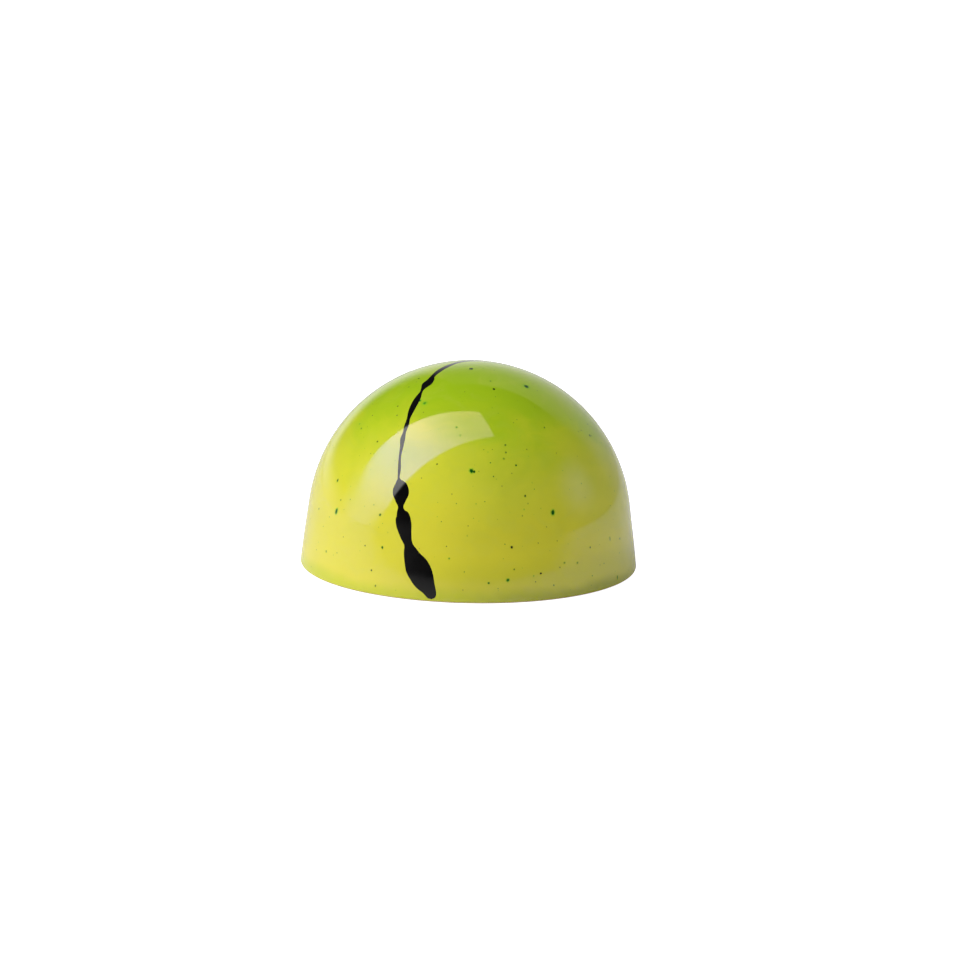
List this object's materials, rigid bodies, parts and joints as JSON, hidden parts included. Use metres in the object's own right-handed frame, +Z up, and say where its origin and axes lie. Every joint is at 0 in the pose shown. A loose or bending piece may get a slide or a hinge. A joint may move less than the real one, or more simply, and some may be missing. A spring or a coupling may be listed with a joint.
{
  "type": "chocolate praline",
  "caption": "Glossy moulded dome-shaped chocolate praline, yellow shading to green at the crown, with a beaded black streak over the top. A sweet eaten in one or two bites.",
  "frame": {"origin": "centre of the flat underside", "axes": "+Z up through the top of the crown, the front with the streak's widest bead faces -Y"},
  "size_m": [0.028, 0.028, 0.0171],
  "materials": {
    "yellow_green_cocoa_butter": "high gloss, yellow shading to lime green at the crown, with dark green specks",
    "black_cocoa_butter": "high gloss black",
    "white_chocolate": "satin, scraped flat"
  },
  "bodies": {
    "root": {"praline": "yellow_green_cocoa_butter"}
  },
  "joints": []
}
